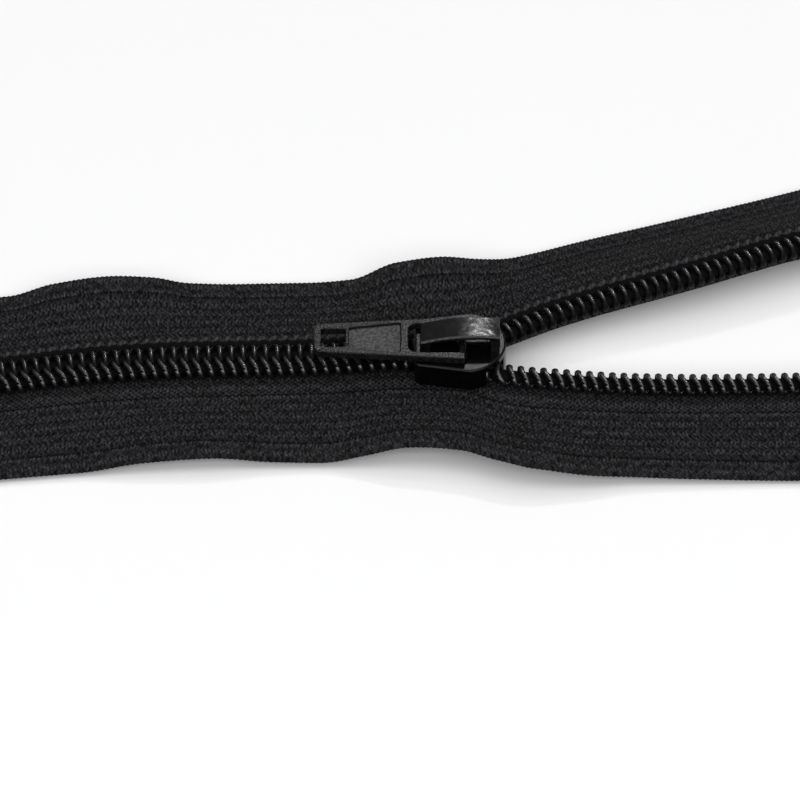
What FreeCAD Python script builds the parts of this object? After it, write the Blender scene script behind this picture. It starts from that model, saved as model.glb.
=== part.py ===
import FreeCAD, Part
import math
import os
from FreeCAD import Vector

# Coil zipper, closed at the bottom end, with an auto-lock slider part way along it.
# +X runs along the chain towards the open end, +Y across it, +Z up; millimetres.
# Shapes are drawn with x = 0, y = 0 at the middle of the slider, and each sub-part is then
# placed so that the origin is on the surface it lies on, under the middle of the whole.

doc = FreeCAD.newDocument("zipper")
sheet = doc.addObject("Spreadsheet::Sheet", "sizes")
SIZES = [
    ("middle_x", -10.75, "middle of the whole, from the middle of the slider"),
    ("middle_y", 9.7, "middle of the whole, from the middle of the slider"),
    ("pitch", 1.25, "one coil turn to the next along a row"),
    ("closed_turns", 66, "turns of each row on the closed side of the slider"),
    ("open_turns", 50, "turns of each row on the open side"),
    ("wire_radius", 0.28, "coil wire"),
    ("coil_height", 1.9, "coil, over the wire"),
    ("head_reach", 0.5, "coil head past the middle line of the chain"),
    ("coil_back", 2.35, "back of the coil from the middle line"),
    ("cord_radius", 0.36, "filler cord inside the coil"),
    ("thread_radius", 0.06, "sewing thread"),
    ("inner_stitch", 0.62, "inner line of stitches from the middle line"),
    ("outer_stitch", 1.05, "outer line of stitches from the middle line"),
    ("tape_thick", 0.55, "woven tape"),
    ("tape_inner", 0.35, "inner edge of a tape from the middle line"),
    ("tape_tail", 15.0, "tape past the last coil turn"),
    ("gap", 0.02, "between sewn parts"),
    ("run_gap", 0.1, "between the slider and the chain"),
    ("tape_low", 1.3, "underside of the tapes inside the slider"),
    ("plate_thick", 0.8, "upper and lower plate of the slider"),
    ("slider_rear", -4.9, "closed end of the slider"),
    ("slider_nose", 5.1, "open end of the slider"),
    ("shoulder_x", 1.2, "widest place of the slider"),
    ("shoulder_half", 4.85, "half the widest width"),
    ("rear_half", 3.9, "half the width at the closed end"),
    ("crown_rear", -4.3, "crown, closed end"),
    ("crown_front", 4.4, "crown, open end"),
    ("crown_half", 1.7, "half the crown width"),
    ("crown_rise", 2.22, "crown above the upper plate"),
    ("crown_wall", 0.45, "crown thickness over the passage"),
    ("crown_fall", 0.95, "crown lower at the closed end than at its top"),
    ("post_rear", 1.1, "rear post of the crown along X"),
    ("post_front", 1.0, "front post of the crown along X"),
    ("lug_thick", 0.5, "lugs of the body inside the crown posts"),
    ("lug_half", 1.0, "half the width of a lug"),
    ("lug_high", 0.8, "height of a lug"),
    ("pintle_x", 0.35, "hinge line of the pull"),
    ("pintle_radius", 0.42, "cross bar of the pull"),
    ("pull_aside", -0.3, "middle of the pull from the middle of the slider, taking up its play"),
    ("pull_long", 16.2, "pull from the hinge line to its far end"),
    ("pull_thick", 0.85, "pull"),
    ("pull_eye_half", 3.45, "half the width at the hinge"),
    ("pull_end_half", 2.25, "half the width at the far end"),
    ("eye_long", 5.9, "eye opening along the pull, from the hinge line"),
    ("eye_half", 2.35, "half the width of the eye"),
    ("arm_end", 0.24, "arms past the hinge line"),
    ("hole_near", 12.8, "small hole, edge nearer the hinge"),
    ("hole_far", 15.4, "small hole, far edge"),
    ("hole_half", 1.45, "half the width of the small hole"),
    ("panel_near", 6.8, "recessed panel, edge nearer the hinge"),
    ("panel_depth", 0.3, "depth of the recessed panel"),
    ("back_panel_depth", 0.15, "depth of the same panel on the underside"),
    ("pull_round", 0.12, "rounding of the edges of the pull"),
    ("panel_far", 12.4, "recessed panel, far edge"),
    ("panel_near_half", 2.5, "half the width of the panel at its nearer edge"),
    ("panel_far_half", 1.65, "half the width of the panel at its far edge"),
    ("leaf_thick", 0.12, "leaf of the lock spring"),
    ("leaf_half", 0.7, "half the width of the leaf"),
    ("leaf_front", 2.6, "open end of the leaf"),
    ("leaf_step", -0.35, "where the leaf steps down behind the cross bar"),
    ("leaf_high", 0.95, "front of the leaf above the upper plate"),
    ("leaf_low", 0.4, "rear of the leaf above the upper plate"),
    ("pin_x", -2.9, "lock pin"),
    ("pin_long", 0.5, "lock pin along X"),
    ("pin_half", 0.2, "half the width of the lock pin"),
    ("stop_plate", 0.55, "thickness of the stops above and below the tape"),
    ("stop_long", 2.6, "stops along the row"),
    ("stop_half", 2.7, "half the width of the bottom stop"),
    ("top_stop_wide", 2.4, "width of a top stop"),
]
for row, (alias, number, meaning) in enumerate(SIZES, start=1):
    sheet.set("A%d" % row, alias)
    sheet.set("B%d" % row, str(number))
    sheet.setAlias("B%d" % row, alias)
    sheet.set("C%d" % row, meaning)
doc.recompute()


def size(alias):
    return float(getattr(sheet, alias))


# The lie of the zipper: x, y, height of the underside of the tape.
CHAIN = [
    (-104, -9.2, 0.7), (-85, -6.8, 0.7), (-68, -4.7, 0.5), (-50, -2.6, 0.25), (-40, -1.0, 0.3),
    (-30, -0.25, 0.4), (-20, -0.1, 0.5), (-14, -0.05, 0.7), (-11, 0.0, 0.95),
    (-6.5, 0.0, size("tape_low")), (-1, 0.0, size("tape_low")),
]
SPREAD = [(0, 0.12), (1, 0.45), (2, 0.92), (3, 1.42), (4, 1.92), (5, 2.4)]
FAR_OPEN = [
    (8, 3.9, 1.45), (11, 5.3, 1.65), (16, 7.2, 2.0), (21, 8.9, 2.3), (26, 10.7, 2.55),
    (36, 14.8, 2.8), (48, 19.8, 1.3), (54, 22.4, 0.7), (84, 34.9, 0.7),
]
NEAR_OPEN = [
    (8, -2.65, 1.1), (11, -2.6, 0.8), (15, -2.65, 0.45), (19, -2.75, 0.3), (26, -2.9, 0.3),
    (36, -2.8, 0.4), (50, -2.5, 0.6), (62, -2.3, 0.7), (84, -2.0, 0.7),
]
# The outer edges, which ripple where the tape is fuller than the chain is long.
FAR_EDGE = [
    (-100.5, 6.0, 0.0), (-85, 8.2, 0.3), (-68, 10.3, 0.1), (-58, 11.6, 0.0), (-50, 12.5, 0.1),
    (-45, 13.1, 1.4), (-39, 13.7, 2.0), (-34, 14.1, 1.5), (-30, 14.4, 0.4), (-24, 14.7, 0.0),
    (-17, 14.9, 0.0), (-12, 15.0, 0.4), (-7, 15.1, 2.8), (-2, 15.3, 3.5), (2, 16.2, 2.4),
    (6.5, 18.6, 0.6), (11, 20.8, 0.1), (23.5, 25.4, 0.0), (36, 29.9, 0.0), (50, 35.6, 0.0),
    (69, 43.6, 0.0),
]
NEAR_EDGE = [
    (-102.5, -24.2, 0.0), (-85, -21.8, 0.2), (-68, -19.6, 0.2), (-50, -17.4, 0.1), (-41, -16.4, 0.2),
    (-34, -15.8, 1.1), (-27, -15.4, 1.4), (-20, -15.1, 0.6), (-15, -15.0, 0.4), (-10, -15.0, 1.5),
    (-6, -15.0, 2.6), (0, -15.7, 2.9), (4, -17.2, 2.8), (8, -18.1, 2.4), (13, -18.2, 1.6),
    (19, -17.7, 0.8), (26, -17.6, 0.4), (36, -17.5, 0.1), (55, -17.3, 0.0), (81, -17.0, 0.0),
]


def slopes(knots, k):
    """Slopes at the knots that keep the curve from overshooting them."""
    rises = [(b[k] - a[k]) / (b[0] - a[0]) for a, b in zip(knots, knots[1:])]
    middle = [2 * p * q / (p + q) if p * q > 0 else 0.0 for p, q in zip(rises, rises[1:])]
    return [rises[0]] + middle + [rises[-1]]


def smooth(knots, k, grades, x):
    """Value k of the smooth curve through the knots, at x."""
    i = 0
    while i < len(knots) - 2 and x > knots[i + 1][0]:
        i += 1
    step = knots[i + 1][0] - knots[i][0]
    t = (x - knots[i][0]) / step
    return (
        knots[i][k] * (1 + 2 * t) * (1 - t) ** 2
        + knots[i + 1][k] * t * t * (3 - 2 * t)
        + grades[i] * step * t * (1 - t) ** 2
        - grades[i + 1] * step * t * t * (1 - t)
    )


class Line:
    """A smooth line through knots (x, y, z), walked by its length in plan from x = start."""

    def __init__(self, knots, start):
        grades = [slopes(knots, 1), slopes(knots, 2)]
        count = int((knots[-1][0] - knots[0][0]) / 0.1)
        self.points = []
        for n in range(count + 1):
            x = knots[0][0] + (knots[-1][0] - knots[0][0]) * n / count
            y = smooth(knots, 1, grades[0], x)
            z = smooth(knots, 2, grades[1], x)
            self.points.append(Vector(x, y, z))
        self.walked = [0.0]
        for a, b in zip(self.points, self.points[1:]):
            self.walked.append(self.walked[-1] + math.hypot(b.x - a.x, b.y - a.y))
        before = sum(1 for p in self.points if p.x < start)
        zero = self.walked[before]
        self.walked = [w - zero for w in self.walked]

    def at(self, s):
        """Point and direction in plan at length s."""
        low, high = 0, len(self.walked) - 1
        while high - low > 1:
            half = (low + high) // 2
            if self.walked[half] <= s:
                low = half
            else:
                high = half
        a, b = self.points[low], self.points[high]
        t = (s - self.walked[low]) / (self.walked[high] - self.walked[low])
        along = Vector(b.x - a.x, b.y - a.y, 0)
        along.normalize()
        return a + (b - a) * t, along


FAR, NEAR = 1, -1
spread = {side: [(x, side * y, size("tape_low")) for x, y in SPREAD] for side in (FAR, NEAR)}
rows = {
    FAR: Line(CHAIN + spread[FAR] + FAR_OPEN, -1.0),
    NEAR: Line(CHAIN + spread[NEAR] + NEAR_OPEN, -1.0),
}
edges = {FAR: Line(FAR_EDGE, FAR_EDGE[0][0]), NEAR: Line(NEAR_EDGE, NEAR_EDGE[0][0])}
first_s = -size("closed_turns") * size("pitch")
last_s = size("open_turns") * size("pitch")
coil_mid = size("tape_thick") + size("gap") + size("coil_height") / 2


def frame(side, s):
    """Point on the middle line of a row at the underside of the tape, its direction, outward."""
    point, along = rows[side].at(s)
    outward = Vector(-along.y, along.x, 0) * side
    return point, along, outward


def add(label, shape):
    feature = doc.addObject("Part::Feature", label)
    feature.Label = label
    feature.Shape = shape
    place(feature)


def place(feature, x=0.0, y=0.0, z=0.0):
    """Place a sub-part, drawn about x, y and z, in the frame of the whole."""
    shift = Vector(x - size("middle_x"), y - size("middle_y"), z)
    feature.Placement = FreeCAD.Placement(shift, FreeCAD.Rotation()).multiply(feature.Placement)


def arc(start, heading, end):
    """The arc that leaves start along heading and reaches end, and its heading there."""
    chord = end - start
    ahead = chord.dot(heading)
    across = chord - heading * ahead
    if across.Length < 1e-6:
        return Part.LineSegment(start, end).toShape(), heading
    bend = across * (1 / across.Length)
    radius = chord.dot(chord) / (2 * across.Length)
    turn = 2 * math.atan2(across.Length, ahead)
    centre = start + bend * radius
    half = centre + heading * (radius * math.sin(turn / 2)) - bend * (radius * math.cos(turn / 2))
    leaving = heading * math.cos(turn) + bend * math.sin(turn)
    return Part.Arc(start, half, end).toShape(), leaving


def two_arcs(start, heading, end, arriving):
    """Two arcs that leave start along heading and reach end along arriving."""
    v = end - start
    a = 2 * (heading.dot(arriving) - 1)
    b = -2 * v.dot(heading + arriving)
    c = v.dot(v)
    if abs(a) < 1e-9:
        reach = -c / b
    else:
        root = math.sqrt(b * b - 4 * a * c)
        reach = max((-b - root) / (2 * a), (-b + root) / (2 * a))
    join = (start + heading * reach + end - arriving * reach) * 0.5
    first, midway = arc(start, heading, join)
    second, _ = arc(join, midway, end)
    return [first, second]


def sweep(path, radius):
    """Round wire along a smooth path."""
    spine = Part.Wire(path)
    start = path[0].valueAt(path[0].FirstParameter)
    heading = path[0].tangentAt(path[0].FirstParameter)
    section = Part.Wire([Part.Circle(start, heading, radius).toShape()])
    return spine.makePipeShell([section], True, False)


def turn_lengths(side):
    """Length along the row of every turn; the near row sits half a pitch on."""
    shift = 0.0 if side == FAR else 0.5
    count = int(size("closed_turns") + size("open_turns"))
    return [first_s + (n + shift) * size("pitch") for n in range(count)]


def coil(side):
    """A row of teeth: one wire with a straight leg above and below and a round head per turn."""
    arch = size("coil_height") / 2 - size("wire_radius")
    head = arch + size("wire_radius") - size("head_reach")
    back_bulge = math.hypot(2 * arch, size("pitch")) / 2
    back = size("coil_back") - size("wire_radius") - back_bulge
    up = Vector(0, 0, arch)
    path = []
    leaving = None
    for s in turn_lengths(side):
        point, _, outward = frame(side, s)
        middle = point + Vector(0, 0, coil_mid)
        top_back = middle + outward * back + up
        top_head = middle + outward * head + up
        low_head = middle + outward * head - up
        low_back = middle + outward * back - up
        if leaving:
            path += two_arcs(leaving[0], leaving[1], top_back, outward * -1)
        path.append(Part.LineSegment(top_back, top_head).toShape())
        path.append(Part.Arc(top_head, middle + outward * (head - arch), low_head).toShape())
        path.append(Part.LineSegment(low_head, low_back).toShape())
        leaving = (low_back, outward)
    return sweep(path, size("wire_radius"))


def waved_line(side, offset, crest, dip):
    """A path along the row that is at height crest over every turn and at dip between turns."""
    half = size("pitch") / 2
    path = []
    last = None
    for s in turn_lengths(side):
        for shift, height in ((0.0, crest), (half, dip)):
            point, along, outward = frame(side, s + shift)
            here = point + outward * offset + Vector(0, 0, height)
            if last:
                path += two_arcs(last[0], last[1], here, along)
            last = (here, along)
    return path


def needle_thread(side, offset):
    """Upper sewing thread, lying over the legs of the coil."""
    top = coil_mid + size("coil_height") / 2 + size("gap") / 2 + size("thread_radius")
    return sweep(waved_line(side, offset, top, top - 0.2), size("thread_radius"))


def looper_thread(side, offset):
    """Lower sewing thread, lying under the tape."""
    low = -size("gap") - size("thread_radius")
    return sweep(waved_line(side, offset, low - 0.06, low), size("thread_radius"))


def cord(side):
    """Filler cord inside the coil."""
    arch = size("coil_height") / 2 - size("wire_radius")
    offset = (size("inner_stitch") + size("coil_back")) / 2 - arch / 2
    path = []
    last = None
    for s in turn_lengths(side)[::2]:
        point, along, outward = frame(side, s)
        here = point + outward * offset + Vector(0, 0, coil_mid)
        if last:
            path += two_arcs(last[0], last[1], here, along)
        last = (here, along)
    return sweep(path, size("cord_radius"))


def ease(t):
    """0 up to t = 0.3, then a smooth rise to 1 at t = 1."""
    t = max(0.0, (t - 0.3) / 0.7)
    return t * t * (3 - 2 * t)


def tape(side):
    """Woven tape: level beside the chain, then following the rippled outer edge."""
    start = first_s - size("tape_tail")
    finish = last_s + size("tape_tail")
    stations = 61
    columns = (0.0, 0.15, 0.3, 0.475, 0.65, 0.825, 1.0)
    edge_long = edges[side].walked[-1]
    grid = []
    for n in range(stations):
        part = n / (stations - 1)
        point, _, outward = frame(side, start + (finish - start) * part)
        inner = point + outward * size("tape_inner")
        outer, _ = edges[side].at(edge_long * part)
        line = []
        for t in columns:
            flat = inner + (outer - inner) * t
            line.append(Vector(flat.x, flat.y, inner.z + (outer.z - inner.z) * ease(t)))
        grid.append(line)
    surface = Part.BSplineSurface()
    surface.interpolate(grid)
    return surface.toShape().extrude(Vector(0, 0, size("tape_thick")))


for side, name in ((FAR, "far"), (NEAR, "near")):
    add(name + "_tape", tape(side))
    add(name + "_coil", coil(side))
    add(name + "_cord", cord(side))
    add(name + "_inner_needle_thread", needle_thread(side, size("inner_stitch")))
    add(name + "_outer_needle_thread", needle_thread(side, size("outer_stitch")))
    add(name + "_inner_looper_thread", looper_thread(side, size("inner_stitch")))
    add(name + "_outer_looper_thread", looper_thread(side, size("outer_stitch")))


# Stops: small clips pressed over the tape edges past the last turns.
def clip(side, s, half_reach, web_half):
    """A plate above and a plate under the tape, joined by a web at the tape's inner edge."""
    point, along, _ = frame(side, s)
    long, plate = size("stop_long"), size("stop_plate")
    above = size("tape_thick") + size("gap")
    low, high = half_reach
    top = Part.makeBox(long, high - low, plate, Vector(-long / 2, low, above))
    bottom = Part.makeBox(long, high - low, plate, Vector(-long / 2, low, -size("gap") - plate))
    web_low, web_high = web_half
    web = Part.makeBox(
        long, web_high - web_low, above + size("gap") + 2 * plate,
        Vector(-long / 2, web_low, -size("gap") - plate),
    )
    shape = top.fuse([bottom, web]).removeSplitter()
    corners = []
    for edge in shape.Edges:
        y = edge.valueAt(edge.FirstParameter).y
        upright = abs(edge.tangentAt(edge.FirstParameter).z) > 0.9
        if upright and min(abs(y - low), abs(y - high)) < 0.001:
            corners.append(edge)
    shape = shape.makeFillet(0.18, corners)
    behind, _ = rows[side].at(s - long / 2)
    ahead, _ = rows[side].at(s + long / 2)
    climb = math.atan2(ahead.z - behind.z, long)
    shape.rotate(Vector(0, 0, 0), Vector(0, 1, 0), -math.degrees(climb))
    shape.rotate(Vector(0, 0, 0), Vector(0, 0, 1), math.degrees(math.atan2(along.y, along.x)))
    shape.translate(point)
    return shape


past = size("stop_long") / 2 + 1.0
web = size("tape_inner") - size("gap") * 2
bottom_s = first_s - past
add("bottom_stop", clip(FAR, bottom_s, (-size("stop_half"), size("stop_half")), (-web, web)))
reach = size("top_stop_wide")
top_s = last_s + past - size("pitch") / 2
add("far_top_stop", clip(FAR, top_s, (0.02, reach), (0.02, web)))
add("near_top_stop", clip(NEAR, top_s, (-reach, -0.02), (-web, -0.02)))


# Slider body: two plates joined by the wedge between the rows, with flanges beside them.
tape_low = size("tape_low")
coil_top = tape_low + size("tape_thick") + size("gap") + size("coil_height")
room_low = tape_low - 0.3
room_high = coil_top + 2 * size("thread_radius") + size("gap") + 0.03
plate_top = room_high + size("plate_thick")
plate_low = room_low - size("plate_thick")


def slider_outline():
    """Plan of the plates: narrow at the closed end, rounded at the nose."""
    rear, nose = size("slider_rear"), size("slider_nose")
    wide_x, wide = size("shoulder_x"), size("shoulder_half")
    narrow = size("rear_half")
    corner = 0.8
    near_side = Vector(rear + corner, -narrow, 0)
    far_side = Vector(rear + corner, narrow, 0)
    diagonal = corner * (1 - math.sqrt(0.5))
    return Part.Wire([
        Part.LineSegment(near_side, Vector(wide_x, -wide, 0)).toShape(),
        Part.Arc(Vector(wide_x, -wide, 0), Vector(nose, 0, 0), Vector(wide_x, wide, 0)).toShape(),
        Part.LineSegment(Vector(wide_x, wide, 0), far_side).toShape(),
        Part.Arc(
            far_side,
            Vector(rear + diagonal, narrow - diagonal, 0),
            Vector(rear, narrow - corner, 0),
        ).toShape(),
        Part.LineSegment(
            Vector(rear, narrow - corner, 0), Vector(rear, corner - narrow, 0)
        ).toShape(),
        Part.Arc(
            Vector(rear, corner - narrow, 0),
            Vector(rear + diagonal, diagonal - narrow, 0),
            near_side,
        ).toShape(),
    ])


def slab(wire, low, high):
    """The area of a wire in plan, made solid between two heights."""
    solid = Part.Face(wire).extrude(Vector(0, 0, high - low))
    solid.translate(Vector(0, 0, low))
    return solid


def band(offset, first_x, last_x):
    """Closed wire in plan whose sides run at an offset from the middle lines of the two rows."""
    sides = []
    line = [(-7, 0.0), (-5, 0.0), (-3, 0.0), (-1, 0.0)] + SPREAD + [(6, 2.9), (7, 3.4), (8, 3.9)]
    for side in (NEAR, FAR):
        points = []
        for before, here, after in zip(line, line[1:], line[2:]):
            if first_x <= here[0] <= last_x:
                square = Vector(before[1] - after[1], after[0] - before[0], 0)
                square.normalize()
                moved = Vector(here[0], here[1], 0) + square * offset
                points.append(Vector(moved.x, side * moved.y, 0))
        curve = Part.BSplineCurve()
        curve.interpolate(points)
        sides.append(curve.toShape())
    ends = [[s.valueAt(s.FirstParameter), s.valueAt(s.LastParameter)] for s in sides]
    return Part.Wire([
        sides[0],
        Part.LineSegment(ends[0][1], ends[1][1]).toShape(),
        sides[1],
        Part.LineSegment(ends[1][0], ends[0][0]).toShape(),
    ])


plan = slider_outline()
upper = slab(plan, room_high, plate_top)
lower = slab(plan, plate_low, room_low)
upper = upper.makeFillet(0.25, [e for e in upper.Edges if e.BoundBox.ZMin > plate_top - 0.01])
lower = lower.makeFillet(0.25, [e for e in lower.Edges if e.BoundBox.ZMax < plate_low + 0.01])
flange_low = tape_low + size("tape_thick") + 0.18
channel = slab(band(size("coil_back") + size("run_gap"), -6, 7), flange_low - 1, room_high)
flanges = slab(plan, flange_low, room_high).cut(channel)
wedge = slab(band(-size("head_reach") - size("run_gap"), 2, 7), room_low, room_high)
wedge = wedge.common(slab(plan, room_low, room_high))
rear_lug_x = size("crown_rear") + size("post_rear") / 2
front_lug_x = size("crown_front") - size("post_front") / 2
lugs = []
for x in (rear_lug_x, front_lug_x):
    lugs.append(Part.makeBox(
        size("lug_thick"), 2 * size("lug_half"), size("lug_high"),
        Vector(x - size("lug_thick") / 2, -size("lug_half"), plate_top),
    ))
slot_gap = 0.06
pin_slot = Part.makeBox(
    size("pin_long") + 2 * slot_gap, 2 * (size("pin_half") + slot_gap), 2,
    Vector(size("pin_x") - slot_gap, -size("pin_half") - slot_gap, room_high - 0.5),
)
body = upper.fuse([lower, flanges, wedge] + lugs).removeSplitter().cut(pin_slot)
add("slider_body", body)


# Crown: the cap over the lock spring and the cross bar of the pull.
def arched(base, front, rear, top, rear_foot):
    """Side view with an arched top that falls towards the closed end."""
    peak = 1.6
    fall = size("crown_fall") / (size("crown_rear") - peak) ** 2

    def height(x):
        return top - fall * (x - peak) ** 2

    corners = [
        Vector(rear_foot, 0, base), Vector(front, 0, base),
        Vector(front, 0, height(front)), Vector(rear, 0, height(rear)),
    ]
    return Part.Wire([
        Part.LineSegment(corners[0], corners[1]).toShape(),
        Part.LineSegment(corners[1], corners[2]).toShape(),
        Part.Arc(corners[2], Vector(0.6, 0, height(0.6)), corners[3]).toShape(),
        Part.LineSegment(corners[3], corners[0]).toShape(),
    ])


def crown_shape():
    rear, front = size("crown_rear"), size("crown_front")
    base = plate_top + size("gap")
    top = plate_top + size("crown_rise")
    half = size("crown_half")
    shoulder = rear + 0.1
    back = arched(base, front, shoulder, top, rear)
    block = Part.Face(back).extrude(Vector(0, 2 * half, 0))
    block.translate(Vector(0, -half, 0))
    long_edges = []
    for edge in block.Edges:
        box = edge.BoundBox
        if box.ZMin > base + 0.1 and box.YLength < 0.01:
            long_edges.append(edge)
    block = block.makeFillet(0.22, long_edges)
    inside_rear, inside_front = rear + size("post_rear"), front - size("post_front")
    hollow = arched(base - 1, inside_front, inside_rear, top - size("crown_wall"), inside_rear)
    passage = Part.Face(hollow).extrude(Vector(0, 4 * half, 0))
    passage.translate(Vector(0, -2 * half, 0))
    block = block.cut(passage)
    for x in (rear_lug_x, front_lug_x):
        block = block.cut(Part.makeBox(
            size("lug_thick") + 2 * size("gap"),
            2 * (size("lug_half") + size("gap")),
            size("lug_high") + size("gap"),
            Vector(
                x - size("lug_thick") / 2 - size("gap"), -size("lug_half") - size("gap"), plate_top
            ),
        ))
    return block


add("slider_crown", crown_shape())

# Lock spring: a leaf that steps over the cross bar, with a pin through the upper plate.
HEIGHTS = [("plate_top", plate_top), ("pin_low", coil_top + 0.03)]
for row, (alias, height) in enumerate(HEIGHTS, start=len(SIZES) + 1):
    sheet.set("A%d" % row, alias)
    sheet.set("B%d" % row, "%.4f" % height)
    sheet.setAlias("B%d" % row, alias)
doc.recompute()
SPRING_BOXES = {
    "leaf_over_bar": {
        "Length": "sizes.leaf_front - sizes.leaf_step",
        "Height": "sizes.leaf_thick",
        "Placement.Base.x": "sizes.leaf_step",
        "Placement.Base.z": "sizes.plate_top + sizes.leaf_high",
    },
    "leaf_riser": {
        "Length": "sizes.leaf_thick",
        "Height": "sizes.leaf_high + sizes.leaf_thick - sizes.leaf_low",
        "Placement.Base.x": "sizes.leaf_step",
        "Placement.Base.z": "sizes.plate_top + sizes.leaf_low",
    },
    "leaf_rear": {
        "Length": "sizes.leaf_step + sizes.leaf_thick - sizes.pin_x",
        "Height": "sizes.leaf_thick",
        "Placement.Base.x": "sizes.pin_x",
        "Placement.Base.z": "sizes.plate_top + sizes.leaf_low",
    },
    "lock_pin": {
        "Length": "sizes.pin_long",
        "Height": "sizes.plate_top + sizes.leaf_low + sizes.leaf_thick - sizes.pin_low",
        "Placement.Base.x": "sizes.pin_x",
        "Placement.Base.z": "sizes.pin_low",
    },
}
spring_parts = []
for label, lengths in SPRING_BOXES.items():
    box = doc.addObject("Part::Box", label)
    half_width = "sizes.pin_half" if label == "lock_pin" else "sizes.leaf_half"
    box.setExpression("Width", "2 * " + half_width)
    box.setExpression("Placement.Base.y", "-" + half_width)
    for target, formula in lengths.items():
        box.setExpression(target, formula)
    spring_parts.append(box)
spring = doc.addObject("Part::MultiFuse", "lock_spring")
spring.Shapes = spring_parts
spring.Label = "lock_spring"
place(spring)


# Pull: a tapered tab with an eye round the crown, a small hole and a sunk panel. It has play
# along its cross bar and lies a little towards the near side.
def rounded(points, radii):
    """Closed wire in plan through the points, with every corner rounded."""
    count = len(points)
    cuts = []
    for i, corner in enumerate(points):
        before = points[i - 1] - corner
        after = points[(i + 1) % count] - corner
        before.normalize()
        after.normalize()
        half = before.getAngle(after) / 2
        cut = radii[i] / math.tan(half)
        middle = before + after
        middle.normalize()
        centre = corner + middle * (radii[i] / math.sin(half))
        cuts.append((corner + before * cut, centre - middle * radii[i], corner + after * cut))
    parts = []
    for i in range(count):
        parts.append(Part.Arc(*cuts[i]).toShape())
        parts.append(Part.LineSegment(cuts[i][2], cuts[(i + 1) % count][0]).toShape())
    return Part.Wire(parts)


def four_sided(near_x, near_half, far_x, far_half, radius):
    """Plan outline between two distances from the hinge, as wide at each as given."""
    points = [
        Vector(-near_x, -near_half, 0), Vector(-near_x, near_half, 0),
        Vector(-far_x, far_half, 0), Vector(-far_x, -far_half, 0),
    ]
    return rounded(points, [radius] * 4)


def tab_outline():
    """Plan of the pull: an even taper from the arm ends to the far end."""
    wide, narrow = size("pull_eye_half"), size("pull_end_half")
    points = [
        Vector(size("arm_end"), -wide, 0), Vector(size("arm_end"), wide, 0),
        Vector(-size("pull_long"), narrow, 0), Vector(-size("pull_long"), -narrow, 0),
    ]
    return rounded(points, [0.2, 0.2, 0.8, 0.8])


def round_rims(shape, height, cutters):
    """Round the edges at +height and -height, or only those the cutters have made."""
    rims = []
    for edge in shape.Edges:
        box = edge.BoundBox
        if box.ZLength > 0.01 or abs(abs(box.ZMin) - height) > 0.01:
            continue
        if not cutters or any(cutter.BoundBox.isInside(box) for cutter in cutters):
            rims.append(edge)
    return shape.makeFillet(size("pull_round"), rims)


def pull_shape():
    thick = size("pull_thick")
    tab = slab(tab_outline(), -thick / 2, thick / 2)
    eye_half = size("eye_half")
    eye = slab(four_sided(-2.0, eye_half, size("eye_long"), eye_half, 1.0), -thick, thick)
    tab = round_rims(tab.cut(eye), thick / 2, [])
    hole_half = size("hole_half")
    hole_outline = four_sided(size("hole_near"), hole_half, size("hole_far"), hole_half, 0.3)
    hole = slab(hole_outline, -thick, thick)
    panel_outline = four_sided(
        size("panel_near"), size("panel_near_half"),
        size("panel_far"), size("panel_far_half"), 0.25,
    )
    panel = slab(panel_outline, thick / 2 - size("panel_depth"), thick)
    back_panel = slab(panel_outline, -thick, size("back_panel_depth") - thick / 2)
    tab = tab.cut(hole).cut(panel).cut(back_panel)
    tab = round_rims(tab, thick / 2, [hole, panel, back_panel])
    reach = eye_half + 0.4
    bar = Part.makeCylinder(
        size("pintle_radius"), 2 * reach, Vector(0, -reach, 0), Vector(0, 1, 0)
    )
    return tab.fuse(bar).removeSplitter()


pull = doc.addObject("Part::Feature", "pull_tab")
pull.Shape = pull_shape()
pull_height = plate_top + max(size("pintle_radius"), size("pull_thick") / 2) + 0.03
place(pull, size("pintle_x"), size("pull_aside"), pull_height)

doc.recompute()
NODES = [
    "far_tape", "near_tape", "far_coil", "near_coil", "far_cord", "near_cord",
    "far_inner_needle_thread", "far_outer_needle_thread",
    "near_inner_needle_thread", "near_outer_needle_thread",
    "far_inner_looper_thread", "far_outer_looper_thread",
    "near_inner_looper_thread", "near_outer_looper_thread",
    "bottom_stop", "far_top_stop", "near_top_stop",
    "slider_body", "slider_crown", "lock_spring", "pull_tab",
]
for thing in doc.Objects:
    if "Invalid" in thing.State or "Error" in thing.State:
        raise RuntimeError("%s is in state %s" % (thing.Label, thing.State))
os.makedirs("parts", exist_ok=True)
for node in NODES:
    found = doc.getObjectsByLabel(node)[0]
    if found.Shape.isNull() or not found.Shape.isValid():
        raise RuntimeError("%s has no sound shape" % node)
    found.Shape.exportStep("parts/%s.step" % node)
    box = found.Shape.BoundBox
    print("%-26s %2d solid %9.2f mm3  x %.2f..%.2f  y %.2f..%.2f  z %.2f..%.2f" % (
        node, len(found.Shape.Solids), found.Shape.Volume,
        box.XMin, box.XMax, box.YMin, box.YMax, box.ZMin, box.ZMax,
    ))
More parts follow.
